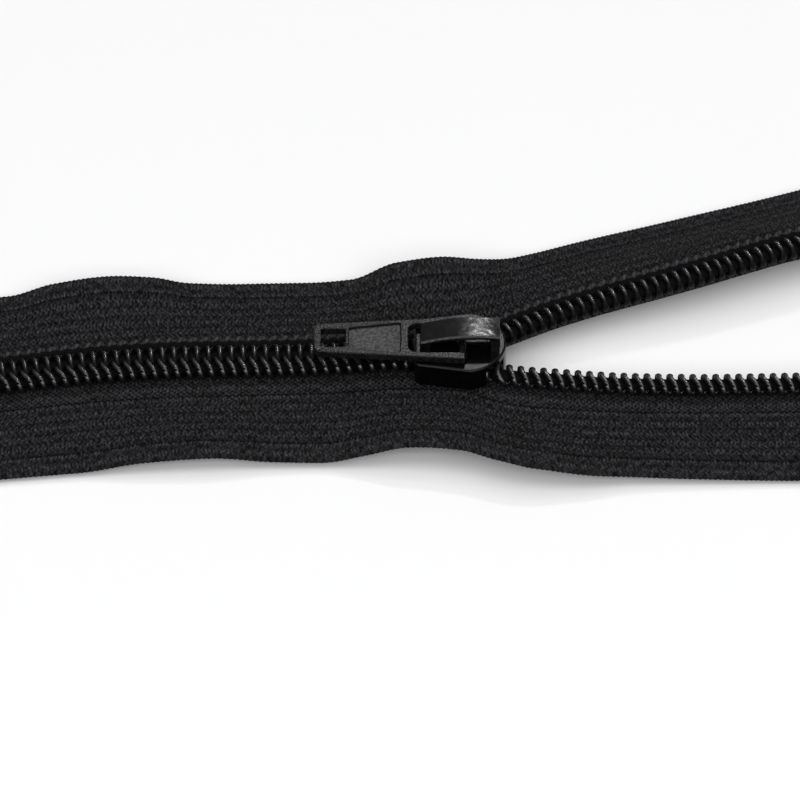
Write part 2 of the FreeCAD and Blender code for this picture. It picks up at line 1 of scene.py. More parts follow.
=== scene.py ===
import math
import bpy
import numpy as np
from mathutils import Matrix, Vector


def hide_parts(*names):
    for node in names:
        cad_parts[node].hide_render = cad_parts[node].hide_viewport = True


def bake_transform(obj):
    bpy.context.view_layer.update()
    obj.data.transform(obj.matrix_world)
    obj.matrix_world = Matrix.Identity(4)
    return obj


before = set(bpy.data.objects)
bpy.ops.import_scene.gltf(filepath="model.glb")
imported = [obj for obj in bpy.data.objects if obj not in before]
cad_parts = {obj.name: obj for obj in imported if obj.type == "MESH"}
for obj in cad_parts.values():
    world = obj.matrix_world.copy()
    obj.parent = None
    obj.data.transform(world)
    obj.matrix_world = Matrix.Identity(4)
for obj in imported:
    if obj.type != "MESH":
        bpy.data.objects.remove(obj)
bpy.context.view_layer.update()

# Everything below is drawn in millimetres with x = 0, y = 0 at the middle of the slider,
# and moved to the frame of the whole, in metres, by to_row. "Outward" is the distance from the
# middle line of the chain towards a tape's outer edge.
MIDDLE = np.array([-10.75, 9.7, 0.0])
FAR, NEAR = 1, -1
PITCH = 1.25
CLOSED_TURNS, OPEN_TURNS = 66, 50
FIRST_S = -CLOSED_TURNS * PITCH
LAST_S = OPEN_TURNS * PITCH
# The near row's turns lie halfway between the far row's.
TURN_SHIFT = {FAR: 0.0, NEAR: 0.5}
WIRE = 0.29
COIL_HIGH = 1.9
HEAD_REACH = 0.5
COIL_BACK = 2.42
TAPE_THICK = 0.55
TAPE_INNER, TAPE_OUTER = 0.35, 15.0
TAPE_TAIL = 15.0
# Height of the underside of the tapes inside the slider.
TAPE_LOW = 1.3
TAPE_TO_COIL = 0.02
COIL_MID = TAPE_THICK + TAPE_TO_COIL + COIL_HIGH / 2


def to_row(points):
    """Points in millimetres from the middle of the slider, moved to the frame of the whole."""
    return (np.asarray(points, float) - MIDDLE) / 1000.0


def in_row(x, y, z):
    """One point moved to the frame of the whole."""
    return tuple(float(c) for c in to_row((x, y, z)))


# The lie of the zipper, as knots (x, y, height of the underside of the tape): the middle line of
# the closed chain, then the middle lines of the two rows, then the outer edges of the tapes.
CHAIN = [
    (-104, -9.2, 0.7), (-85, -6.8, 0.7), (-68, -4.7, 0.5), (-50, -2.6, 0.25), (-40, -1.0, 0.3),
    (-30, -0.25, 0.4), (-20, -0.1, 0.5), (-14, -0.05, 0.7), (-11, 0.0, 0.95),
    (-6.5, 0.0, TAPE_LOW), (-1, 0.0, TAPE_LOW),
]
# How far each row parts from the middle line inside the slider: x, y.
SPREAD = [(0, 0.12), (1, 0.45), (2, 0.92), (3, 1.42), (4, 1.92), (5, 2.4)]
FAR_OPEN = [
    (8, 3.9, 1.45), (11, 5.3, 1.65), (16, 7.2, 2.0), (21, 8.9, 2.3), (26, 10.7, 2.55),
    (36, 14.8, 2.8), (48, 19.8, 1.3), (54, 22.4, 0.7), (84, 34.9, 0.7),
]
NEAR_OPEN = [
    (8, -2.65, 1.1), (11, -2.6, 0.8), (15, -2.65, 0.45), (19, -2.75, 0.3), (26, -2.9, 0.3),
    (36, -2.8, 0.4), (50, -2.5, 0.6), (62, -2.3, 0.7), (84, -2.0, 0.7),
]
FAR_EDGE = [
    (-100.5, 6.0, 0.0), (-85, 8.2, 0.3), (-68, 10.3, 0.1), (-58, 11.6, 0.0), (-50, 12.5, 0.1),
    (-45, 13.1, 1.4), (-39, 13.7, 2.0), (-34, 14.1, 1.5), (-30, 14.4, 0.4), (-24, 14.7, 0.0),
    (-17, 14.9, 0.0), (-12, 15.0, 0.4), (-7, 15.1, 2.8), (-2, 15.3, 3.5), (2, 16.2, 2.4),
    (6.5, 18.6, 0.6), (11, 20.8, 0.1), (23.5, 25.4, 0.0), (36, 29.9, 0.0), (50, 35.6, 0.0),
    (69, 43.6, 0.0),
]
NEAR_EDGE = [
    (-102.5, -24.2, 0.0), (-85, -21.8, 0.2), (-68, -19.6, 0.2), (-50, -17.4, 0.1), (-41, -16.4, 0.2),
    (-34, -15.8, 1.1), (-27, -15.4, 1.4), (-20, -15.1, 0.6), (-15, -15.0, 0.4), (-10, -15.0, 1.5),
    (-6, -15.0, 2.6), (0, -15.7, 2.9), (4, -17.2, 2.8), (8, -18.1, 2.4), (13, -18.2, 1.6),
    (19, -17.7, 0.8), (26, -17.6, 0.4), (36, -17.5, 0.1), (55, -17.3, 0.0), (81, -17.0, 0.0),
]


class Line:
    """A smooth line through knots (x, y, z), walked by its length in plan from x = start."""

    STEP = 0.05

    def __init__(self, knots, start):
        knots = np.array(knots, float)
        at = knots[:, 0]
        x = np.linspace(at[0], at[-1], int((at[-1] - at[0]) / self.STEP) + 1)
        which = np.clip(np.searchsorted(at, x, side="right") - 1, 0, len(at) - 2)
        step = (at[1:] - at[:-1])[which]
        t = (x - at[which]) / step
        columns = [x]
        for k in (1, 2):
            rises = np.diff(knots[:, k]) / np.diff(at)
            p, q = rises[:-1], rises[1:]
            same = p * q > 0
            middle = np.where(same, 2 * p * q / np.where(same, p + q, 1), 0)
            slopes = np.concatenate([rises[:1], middle, rises[-1:]])
            columns.append(
                knots[which, k] * (1 + 2 * t) * (1 - t) ** 2
                + knots[which + 1, k] * t * t * (3 - 2 * t)
                + slopes[which] * step * t * (1 - t) ** 2
                - slopes[which + 1] * step * t * t * (1 - t)
            )
        self.points = np.array(columns).T
        steps = np.hypot(np.diff(self.points[:, 0]), np.diff(self.points[:, 1]))
        walked = np.concatenate([[0], np.cumsum(steps)])
        self.walked = walked - np.interp(start, x, walked)
        turn = np.gradient(self.points[:, :2], axis=0)
        self.along = turn / np.linalg.norm(turn, axis=1)[:, None]

    def at(self, s):
        """Points and directions in plan at lengths s."""
        point = np.array([np.interp(s, self.walked, self.points[:, k]) for k in range(3)]).T
        along = np.array([np.interp(s, self.walked, self.along[:, k]) for k in range(2)]).T
        along /= np.linalg.norm(along, axis=1)[:, None]
        return point, np.column_stack([along, np.zeros(len(along))])


# Lengths along the rows are counted from the place in the slider where they part.
PARTING_X = -1.0
spread = {side: [(x, side * y, TAPE_LOW) for x, y in SPREAD] for side in (FAR, NEAR)}
rows = {
    FAR: Line(CHAIN + spread[FAR] + FAR_OPEN, PARTING_X),
    NEAR: Line(CHAIN + spread[NEAR] + NEAR_OPEN, PARTING_X),
}
edges = {FAR: Line(FAR_EDGE, FAR_EDGE[0][0]), NEAR: Line(NEAR_EDGE, NEAR_EDGE[0][0])}


def row_frame(side, s):
    """Points on a row at lengths s, with the directions along it and outward."""
    point, along = rows[side].at(np.atleast_1d(np.asarray(s, float)))
    outward = np.column_stack([-along[:, 1], along[:, 0], np.zeros(len(along))]) * side
    return point, along, outward


def mesh_object(name, points, faces):
    """A smooth piece from points in millimetres and faces."""
    mesh = bpy.data.meshes.new(name)
    mesh.from_pydata(to_row(points).tolist(), [], faces)
    mesh.validate()
    mesh.shade_smooth()
    piece = bpy.data.objects.new(name, mesh)
    bpy.context.scene.collection.objects.link(piece)
    return piece


def tube(name, rings):
    """A skin over rings of points, an array (ring, point, 3), closed at both ends."""
    count, around = rings.shape[:2]
    index = np.arange(count * around).reshape(count, around)
    a, b = index[:-1], index[1:]
    quads = np.stack([a, np.roll(a, -1, 1), np.roll(b, -1, 1), b], -1).reshape(-1, 4)
    faces = quads.tolist()
    faces.append(index[0][::-1].tolist())
    faces.append(index[-1].tolist())
    return mesh_object(name, rings.reshape(-1, 3), faces)


def add_uv(piece, name, uv):
    """A UV map from one pair of lengths per vertex."""
    layer = piece.data.uv_layers.new(name=name)
    corner = np.empty(len(piece.data.loops), dtype=np.int32)
    piece.data.loops.foreach_get("vertex_index", corner)
    layer.data.foreach_set("uv", uv[corner].astype(np.float32).ravel())


# ---------------------------------------------------------------- materials
class Nodes:
    """Shorthand for building one material."""

    def __init__(self, name):
        self.material = bpy.data.materials.new(name)
        self.material.use_nodes = True
        self.tree = self.material.node_tree
        self.tree.nodes.clear()
        self.out = self.tree.nodes.new("ShaderNodeOutputMaterial")
        self.shader = self.tree.nodes.new("ShaderNodeBsdfPrincipled")
        self.tree.links.new(self.shader.outputs[0], self.out.inputs[0])

    def put(self, socket, value):
        """Join another node's socket to this one, or set its value."""
        if isinstance(value, bpy.types.NodeSocket):
            self.tree.links.new(value, socket)
        else:
            socket.default_value = value

    def math(self, operation, *values):
        node = self.tree.nodes.new("ShaderNodeMath")
        node.operation = operation
        for socket, value in zip(node.inputs, values):
            self.put(socket, value)
        return node.outputs[0]

    def noise(self, vector, scale, detail, rough=0.55):
        node = self.tree.nodes.new("ShaderNodeTexNoise")
        self.put(node.inputs["Vector"], vector)
        node.inputs["Scale"].default_value = scale
        node.inputs["Detail"].default_value = detail
        node.inputs["Roughness"].default_value = rough
        return node.outputs["Fac"]

    def stretch(self, vector, along, across):
        """The same place with its two lengths scaled."""
        node = self.tree.nodes.new("ShaderNodeVectorMath")
        node.operation = "MULTIPLY"
        self.put(node.inputs[0], vector)
        node.inputs[1].default_value = (along, across, 1.0)
        return node.outputs[0]

    def cells(self, vector, scale):
        """Distance to the nearest of many scattered points."""
        node = self.tree.nodes.new("ShaderNodeTexVoronoi")
        self.put(node.inputs["Vector"], vector)
        node.inputs["Scale"].default_value = scale
        return node.outputs["Distance"]

    def spread(self, value, low, high, to_low, to_high):
        """Value moved from the range low to high onto the range to_low to to_high."""
        node = self.tree.nodes.new("ShaderNodeMapRange")
        for key, number in (
            ("Value", value), ("From Min", low), ("From Max", high),
            ("To Min", to_low), ("To Max", to_high),
        ):
            self.put(node.inputs[key], number)
        return node.outputs[0]

    def blend(self, amount, first, second):
        node = self.tree.nodes.new("ShaderNodeMix")
        node.data_type = "RGBA"
        self.put(node.inputs[0], amount)
        for socket, value in ((node.inputs[6], first), (node.inputs[7], second)):
            if isinstance(value, tuple):
                value = (*value, 1.0)
            self.put(socket, value)
        return node.outputs[2]

    def bump(self, height, distance, strength, normal=None):
        """Relief of that height; distance is its depth in metres."""
        node = self.tree.nodes.new("ShaderNodeBump")
        node.inputs["Distance"].default_value = distance
        node.inputs["Strength"].default_value = strength
        self.put(node.inputs["Height"], height)
        if normal is not None:
            self.put(node.inputs["Normal"], normal)
        return node.outputs[0]

    def place(self):
        """Position in the object, in metres."""
        return self.tree.nodes.new("ShaderNodeTexCoord").outputs["Object"]

    def uv(self, name):
        """A UV map as one vector and as its two parts."""
        node = self.tree.nodes.new("ShaderNodeUVMap")
        node.uv_map = name
        split = self.tree.nodes.new("ShaderNodeSeparateXYZ")
        self.tree.links.new(node.outputs[0], split.inputs[0])
        return node.outputs[0], split.outputs[0], split.outputs[1]

    def finish(self, **inputs):
        """Set the shader's inputs, named with _ for each space, and give the material."""
        for key, value in inputs.items():
            if isinstance(value, tuple) and len(value) == 3:
                value = (*value, 1.0)
            self.put(self.shader.inputs[key.replace("_", " ")], value)
        return self.material


def wave(n, value, period):
    """0 to 1 and back once every period."""
    angle = n.math("MULTIPLY", value, 2 * math.pi / period)
    return n.math("MULTIPLY_ADD", n.math("SINE", angle), 0.5, 0.5)


def zone(n, value, low, high, soft):
    """1 where value is between low and high, fading over soft on each side of both."""
    rise = n.spread(value, low - soft, low + soft, 0.0, 1.0)
    fall = n.spread(value, high - soft, high + soft, 1.0, 0.0)
    return n.math("MULTIPLY", rise, fall)


def mix(n, amount, first, second):
    """first where amount is 0, second where it is 1."""
    kept = n.math("MULTIPLY", first, n.math("SUBTRACT", 1.0, amount))
    return n.math("MULTIPLY_ADD", second, amount, kept)


def tape_material():
    """Woven tape: plain beside the coil, twill in the middle, pebbled at the outer edge."""
    n = Nodes("woven_tape")
    vector, u, v = n.uv("weave")
    drift = n.noise(vector, 0.8, 3.0)
    along = n.math("MULTIPLY_ADD", drift, 0.55, u)
    across = n.math("MULTIPLY_ADD", n.noise(vector, 0.6, 2.0), 0.4, v)
    pick_period, end_period, stroke_period, strip_wide = 0.7, 0.62, 0.37, 1.55
    twill_from, twill_to, past_edge = 4.9, 12.4, 17.0
    pick = n.math("SINE", n.math("MULTIPLY", along, 2 * math.pi / pick_period))
    end = n.math("SINE", n.math("MULTIPLY", across, 2 * math.pi / end_period))
    plain = n.math("MULTIPLY_ADD", n.math("MULTIPLY", pick, end), 0.5, 0.5)
    fold = n.math("PINGPONG", across, 0.9)
    slant = n.math("ADD", along, n.math("MULTIPLY", fold, 0.8))
    twill = n.math("MULTIPLY", wave(n, slant, end_period), n.math("MULTIPLY_ADD", end, 0.3, 0.7))
    pebbles = n.math("SUBTRACT", 1.0, n.cells(vector, 1.9))
    twill_zone = n.math("MULTIPLY", zone(n, v, twill_from, twill_to, 0.3), 0.65)
    edge_zone = n.math("MULTIPLY", zone(n, v, 12.0, past_edge, 0.6), 0.6)
    height = mix(n, twill_zone, plain, twill)
    height = mix(n, edge_zone, height, pebbles)
    # Two grooves run along the tape, where the weave changes.
    groove = n.math("MAXIMUM", zone(n, v, 4.35, 4.5, 0.12), zone(n, v, 12.2, 12.35, 0.12))
    height = n.math("SUBTRACT", height, n.math("MULTIPLY", groove, 0.9))
    # Leaning strokes of yarn stand in lengthwise strips.
    strip = wave(n, across, strip_wide)
    leaning = n.math("MULTIPLY_ADD", n.math("PINGPONG", across, strip_wide), 0.3, along)
    strokes = n.math("MULTIPLY", wave(n, leaning, stroke_period), strip)
    ticks = n.noise(n.stretch(vector, 2.6, 0.9), 1.3, 2.0, 0.6)
    fibre = n.noise(vector, 4.5, 4.0, 0.75)
    rise = n.math("MULTIPLY_ADD", ticks, 2.6, n.math("MULTIPLY_ADD", fibre, 1.2, height))
    rise = n.math("MULTIPLY_ADD", strokes, n.math("MULTIPLY_ADD", ticks, 2.2, -0.5), rise)
    # Painted shade: the hollows between the yarns and the two grooves are painted darker than the
    # raised yarn, and random patches vary the tone.
    patch = n.noise(vector, 0.35, 3.0)
    lit = n.math("MULTIPLY_ADD", patch, 0.5, rise)
    shade = n.math("POWER", n.spread(lit, 1.7, 3.8, 0.0, 1.0), 2.0)
    colour = n.blend(shade, (0.0014, 0.0014, 0.0016), (0.0580, 0.0568, 0.0615))
    rough = n.spread(fibre, 0.3, 0.7, 0.7, 0.95)
    return n.finish(
        Base_Color=colour, Roughness=rough, Normal=n.bump(rise, 0.00006, 1.0),
        Specular_IOR_Level=0.05,
    )


def coil_material():
    """Glossy drawn wire whose formed heads are duller, and coloured a little darker as painted shade;
    the UV map holds length and outward.
    """
    n = Nodes("nylon_wire")
    place = n.place()
    _, _, outward = n.uv("wire")
    drawn = n.noise(place, 2500.0, 3.0)
    cloud = n.noise(place, 350.0, 2.0)
    colour = n.blend(cloud, (0.003, 0.003, 0.0033), (0.008, 0.008, 0.0085))
    formed = n.spread(outward, 0.1, 0.7, 1.0, 0.0)
    # Painted shade: the formed heads are coloured darker than the rest of the wire.
    colour = n.blend(formed, colour, (0.0020, 0.0020, 0.0022))
    rough = n.spread(n.math("ADD", drawn, cloud), 0.7, 1.3, 0.22, 0.34)
    rough = n.math("MULTIPLY_ADD", formed, 0.22, rough)
    return n.finish(
        Base_Color=colour, Roughness=rough, Normal=n.bump(drawn, 0.000004, 0.6),
        Specular_IOR_Level=n.spread(formed, 0.0, 1.0, 1.0, 0.1),
    )


def thread_material(name, dark, light, specular):
    """Twisted thread; the UV map holds length and the share of the way round."""
    n = Nodes(name)
    vector, u, v = n.uv("ply")
    twist = 0.3
    ply = wave(n, n.math("MULTIPLY_ADD", v, twist, u), twist)
    fuzz = n.noise(vector, 14.0, 4.0, 0.7)
    height = n.math("MULTIPLY_ADD", fuzz, 0.5, ply)
    colour = n.blend(height, dark, light)
    return n.finish(
        Base_Color=colour, Roughness=n.spread(fuzz, 0.3, 0.7, 0.55, 0.8),
        Normal=n.bump(height, 0.00004, 0.8), Specular_IOR_Level=specular,
    )


def enamel_material(name, dark, light, rough_low, rough_high, grain, depth, scale, ripple, shine):
    """Black enamel on metal: grain is how sandy it is, depth and ripple are reliefs in metres."""
    n = Nodes(name)
    place = n.place()
    sand = n.cells(place, scale)
    fine = n.noise(place, scale * 0.9, 4.0, 0.65)
    cloud = n.noise(place, 260.0, 4.0, 0.6)
    bumps = n.math("MULTIPLY_ADD", sand, grain, fine)
    speck = n.spread(n.math("MULTIPLY_ADD", cloud, 0.3, fine), 0.5, 0.85, 0.0, 1.0)
    waves = n.bump(n.noise(place, 420.0, 2.0), ripple, 1.0)
    colour = n.blend(speck, dark, light)
    clouded = n.math("MULTIPLY_ADD", fine, 0.5, cloud)
    rough = n.spread(clouded, 0.5, 1.0, rough_low, rough_high)
    return n.finish(
        Base_Color=colour, Roughness=rough, Normal=n.bump(bumps, depth, 0.8, waves),
        Specular_IOR_Level=shine,
    )


def steel_material():
    """Blackened spring steel."""
    n = Nodes("spring_steel")
    place = n.place()
    brushed = n.noise(place, 1800.0, 4.0)
    colour = n.blend(brushed, (0.008, 0.008, 0.0085), (0.022, 0.022, 0.023))
    return n.finish(
        Base_Color=colour, Metallic=1.0, Roughness=n.spread(brushed, 0.3, 0.7, 0.25, 0.45),
        Normal=n.bump(brushed, 0.00001, 0.5),
    )


TAPE, COIL, STEEL = tape_material(), coil_material(), steel_material()
THREAD = thread_material("sewing_thread", (0.0015, 0.0015, 0.0017), (0.010, 0.010, 0.011), 0.2)
# Painted light: the stitch loops are a lighter copy of the black sewing thread, for the light they
# catch on top.
STITCH_PAINTED_LIGHT = thread_material("stitch_loops_painted_light", (0.004, 0.004, 0.0045), (0.042, 0.042, 0.045), 0.15)
# Painted shade: the filler cord, and the needle threads drawn with it, are coloured darker than the
# sewing thread, for the shade inside and under the coil.
CORD_PAINTED_SHADE = thread_material("filler_cord_painted_shade", (0.0010, 0.0010, 0.0011), (0.0030, 0.0030, 0.0031), 0.05)
CROWN = enamel_material(
    "gloss_enamel", (0.0022, 0.0022, 0.0024), (0.007, 0.007, 0.0075), rough_low=0.15, rough_high=0.24,
    grain=0.2, depth=0.000003, scale=2600.0, ripple=0.00010, shine=0.5,
)
# Painted shade: the body is the crown's black enamel coloured darker all over, for the shade on its
# walls.
BODY_PAINTED_SHADE = enamel_material(
    "body_enamel_painted_shade", (0.0006, 0.0006, 0.0007), (0.0022, 0.0022, 0.0025), rough_low=0.18, rough_high=0.28,
    grain=0.3, depth=0.000006, scale=3600.0, ripple=0.00002, shine=0.2,
)
PULL = enamel_material(
    "rail_enamel", (0.0015, 0.0015, 0.0017), (0.014, 0.014, 0.0145), rough_low=0.20, rough_high=0.32,
    grain=0.5, depth=0.000015, scale=3600.0, ripple=0.00001, shine=0.15,
)
PANEL = enamel_material(
    "sanded_enamel", (0.006, 0.006, 0.0063), (0.088, 0.088, 0.091), rough_low=0.40, rough_high=0.56,
    grain=1.2, depth=0.00005, scale=3400.0, ripple=0.00001, shine=0.3,
)
STOP = enamel_material(
    "stop_enamel", (0.004, 0.004, 0.0044), (0.012, 0.012, 0.013), rough_low=0.3, rough_high=0.45,
    grain=0.5, depth=0.000014, scale=3600.0, ripple=0.00002, shine=0.4,
)


# ---------------------------------------------------------------- tapes
TAPE_START, TAPE_END = FIRST_S - TAPE_TAIL, LAST_S + TAPE_TAIL
SLIDER_SHARE = (0.0 - TAPE_START) / (TAPE_END - TAPE_START)
TAPE_STEP = 0.1
# The inner share of the width that stays at the height of the coil.
FLAT_SHARE = 0.3
SCALLOP_FROM, SCALLOP_PERIOD, SCALLOP_DEEP = 14.0, 0.52, 0.1
BEAD_FROM, BEAD_HIGH = 13.8, 0.05
# Thickness left at the two edges, and how far the top is drawn under full thickness.
INNER_EDGE_SHARE, OUTER_EDGE_SHARE = 0.7, 0.55
TOP_LOWERED = 0.04


def ease(t):
    """0 over the inner share of the width, then smoothly up to 1 at the outer edge."""
    t = np.clip((t - FLAT_SHARE) / (1 - FLAT_SHARE), 0, 1)
    return t * t * (3 - 2 * t)


def tape_grid(side, share, t):
    """Underside points for shares of the length (rows) and of the width (columns)."""
    s = TAPE_START + (TAPE_END - TAPE_START) * share
    point, _, outward = row_frame(side, s)
    inner = point + outward * TAPE_INNER
    outer, _ = edges[side].at(edges[side].walked[-1] * share)
    inner, outer = inner[:, None, :], outer[:, None, :]
    grid = inner + (outer - inner) * t[None, :, None]
    grid[..., 2] = inner[..., 2] + (outer[..., 2] - inner[..., 2]) * ease(t)[None, :]
    return grid, s


def tape(name, side, from_share, to_share):
    """One piece of woven tape with a scalloped outer edge, and its flat size in metres."""
    long = (to_share - from_share) * (TAPE_END - TAPE_START)
    share = np.linspace(from_share, to_share, int(long / TAPE_STEP) + 1)
    # Columns stand closer together at the outer edge.
    t = np.concatenate([np.linspace(0, 0.9, 34), np.linspace(0.915, 1.0, 7)])
    grid, s = tape_grid(side, share, t)
    v = TAPE_INNER + t * (TAPE_OUTER - TAPE_INNER)
    across = grid[:, -1] - grid[:, 0]
    across[:, 2] = 0
    across /= np.linalg.norm(across, axis=1)[:, None]
    picks = 0.5 + 0.5 * np.sin(2 * np.pi * s / SCALLOP_PERIOD)
    at_edge = np.clip((v - SCALLOP_FROM) / (TAPE_OUTER - SCALLOP_FROM), 0, 1)
    pulled_in = (picks - 1.0) * SCALLOP_DEEP
    grid += across[:, None, :] * pulled_in[:, None, None] * at_edge[None, :, None]
    bead = BEAD_HIGH * np.sin(np.pi * np.clip((v - BEAD_FROM) / (TAPE_OUTER - BEAD_FROM), 0, 1))
    body = TAPE_THICK * np.ones(len(v))
    body[-1] = TAPE_THICK * OUTER_EDGE_SHARE
    body[0] = TAPE_THICK * INNER_EDGE_SHARE
    top = grid.copy()
    top[..., 2] += body[None, :] + bead[None, :] * picks[:, None] - TOP_LOWERED
    low = grid.copy()
    low[..., 2] += (TAPE_THICK - body)[None, :] * 0.5
    nu, nv = len(share), len(t)
    index = np.arange(nu * nv).reshape(nu, nv)
    under = index + nu * nv
    a = index[:-1, :-1]
    top_faces = np.stack([a, index[1:, :-1], index[1:, 1:], index[:-1, 1:]], -1).reshape(-1, 4)
    b = under[:-1, :-1]
    low_faces = np.stack([b, under[:-1, 1:], under[1:, 1:], under[1:, :-1]], -1).reshape(-1, 4)
    inner_side = np.stack([index[:-1, 0], under[:-1, 0], under[1:, 0], index[1:, 0]], -1)
    outer_side = np.stack([index[:-1, -1], index[1:, -1], under[1:, -1], under[:-1, -1]], -1)
    first = np.stack([index[0, :-1], index[0, 1:], under[0, 1:], under[0, :-1]], -1)
    last = np.stack([index[-1, :-1], under[-1, :-1], under[-1, 1:], index[-1, 1:]], -1)
    faces = np.concatenate([top_faces, low_faces, inner_side, outer_side, first, last])
    if side == NEAR:
        faces = faces[:, ::-1]
    points = np.concatenate([top.reshape(-1, 3), low.reshape(-1, 3)])
    piece = mesh_object(name, points, faces.tolist())
    uv = np.stack(np.meshgrid(s, v, indexing="ij"), -1).reshape(-1, 2)
    add_uv(piece, "weave", np.concatenate([uv, uv]))
    piece.data.materials.append(TAPE)
    return piece, (v[-1] - v[0]) / 1000, long / 1000


def follow_closed(piece):
    """Closed side: the piece's placement is baked into its mesh."""
    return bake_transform(piece)


def follow_open(piece):
    """Open side: the piece's placement is baked into its mesh."""
    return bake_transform(piece)


for side, word in ((FAR, "far"), (NEAR, "near")):
    closed, wide, long = tape(word + "_tape_closed_part", side, 0.0, SLIDER_SHARE)
    follow_closed(closed)
    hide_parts(word + "_tape")
    opened, wide, long = tape(word + "_tape_open_part", side, SLIDER_SHARE, 1.0)
    follow_open(opened)
    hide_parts(word + "_tape")


# ---------------------------------------------------------------- coils
# How far along, as a share of the pitch, the wire has come at the end of its lower leg and of its
# head, and how far it goes along its upper leg.
LEG_LEAD, HEAD_LEAD = 0.03, 0.08
UPPER_SLANT = {FAR: 0.02, NEAR: 0.42}
# The formed head: outward places, and the wire's half width and half thickness there.
HEAD_AT = [-0.05, 0.3, 0.8]
HEAD_WIDE = [0.38, 0.2, WIRE]
HEAD_THIN = [0.25, 0.24, WIRE]


def coil_path(steps, slant):
    """One turn: lengthwise share of the pitch, outward, up, half width and half thickness."""
    arch = COIL_HIGH / 2 - WIRE
    head = arch + WIRE - HEAD_REACH
    back = COIL_BACK - WIRE - arch
    leg = back - head
    arc_long = math.pi * arch
    total = 2 * leg + 2 * arc_long
    walked = np.linspace(0, total, steps, endpoint=False)
    out, up = [], []
    for w in walked:
        if w < leg:
            out.append(back - w)
            up.append(-arch)
        elif w < leg + arc_long:
            angle = (w - leg) / arch
            out.append(head - arch * math.sin(angle))
            up.append(-arch * math.cos(angle))
        elif w < 2 * leg + arc_long:
            out.append(head + (w - leg - arc_long))
            up.append(arch)
        else:
            angle = (w - 2 * leg - arc_long) / arch
            out.append(back + arch * math.sin(angle))
            up.append(arch * math.cos(angle))
    out, up = np.array(out), np.array(up)
    marks = [0.0, leg, leg + arc_long, 2 * leg + arc_long, total]
    lead = np.interp(walked, marks, [0.0, LEG_LEAD, HEAD_LEAD, HEAD_LEAD + slant, 1.0])
    wide = np.interp(out, HEAD_AT, HEAD_WIDE)
    thin = np.interp(out, HEAD_AT, HEAD_THIN)
    return lead, out, up, wide, thin


def coil(name, side, turns):
    """The wire of one row over these turns. The far row is wound towards the closed end, the near
    row towards the open end. The near row's upper legs slant, the far row's lie square across."""
    steps, around = 40, 12
    lead, out, up, wide, thin = coil_path(steps, UPPER_SLANT[side])
    shift = TURN_SHIFT[side]
    direction = -side
    order = turns if direction > 0 else turns[::-1]
    s = np.concatenate([(FIRST_S + (n + shift) * PITCH) + direction * lead * PITCH for n in order])
    out, up = np.tile(out, len(order)), np.tile(up, len(order))
    wide, thin = np.tile(wide, len(order)), np.tile(thin, len(order))
    point, along, outward = row_frame(side, s)
    centre = point + outward * out[:, None]
    centre[:, 2] += COIL_MID + up
    heading = np.gradient(centre, axis=0)
    heading /= np.linalg.norm(heading, axis=1)[:, None]
    sideways = along - heading * (along * heading).sum(1)[:, None]
    sideways /= np.linalg.norm(sideways, axis=1)[:, None]
    normal = np.cross(heading, sideways)
    angle = np.linspace(0, 2 * np.pi, around, endpoint=False)
    rings = (
        centre[:, None, :]
        + sideways[:, None, :] * (wide[:, None] * np.cos(angle))[..., None]
        + normal[:, None, :] * (thin[:, None] * np.sin(angle))[..., None]
    )
    piece = tube(name, rings)
    add_uv(piece, "wire", np.repeat(np.column_stack([s, out]), around, axis=0))
    piece.data.materials.append(COIL)
    return piece


for side, word in ((FAR, "far"), (NEAR, "near")):
    closed = coil(word + "_coil_closed_part", side, np.arange(0, CLOSED_TURNS))
    follow_closed(closed)
    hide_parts(word + "_coil")
    opened = coil(word + "_coil_open_part", side, np.arange(CLOSED_TURNS, CLOSED_TURNS + OPEN_TURNS))
    follow_open(opened)
    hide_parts(word + "_coil")


# ---------------------------------------------------------------- cords and threads
def strand(name, side, s, offset, height, half, around=8, material=THREAD):
    """A strand along the row; half is its half width and half height."""
    point, _, outward = row_frame(side, s)
    centre = point + outward * np.broadcast_to(offset, s.shape)[:, None]
    centre[:, 2] += height
    heading = np.gradient(centre, axis=0)
    heading /= np.linalg.norm(heading, axis=1)[:, None]
    normal = np.cross(heading, outward)
    angle = np.linspace(0, 2 * np.pi, around, endpoint=False)
    rings = (
        centre[:, None, :]
        + outward[:, None, :] * (half[0] * np.cos(angle))[None, :, None]
        + normal[:, None, :] * (half[1] * np.sin(angle))[None, :, None]
    )
    piece = tube(name, rings)
    uv = np.stack(np.meshgrid(s, angle / (2 * np.pi), indexing="ij"), -1).reshape(-1, 2)
    add_uv(piece, "ply", uv)
    piece.data.materials.append(material)
    return piece


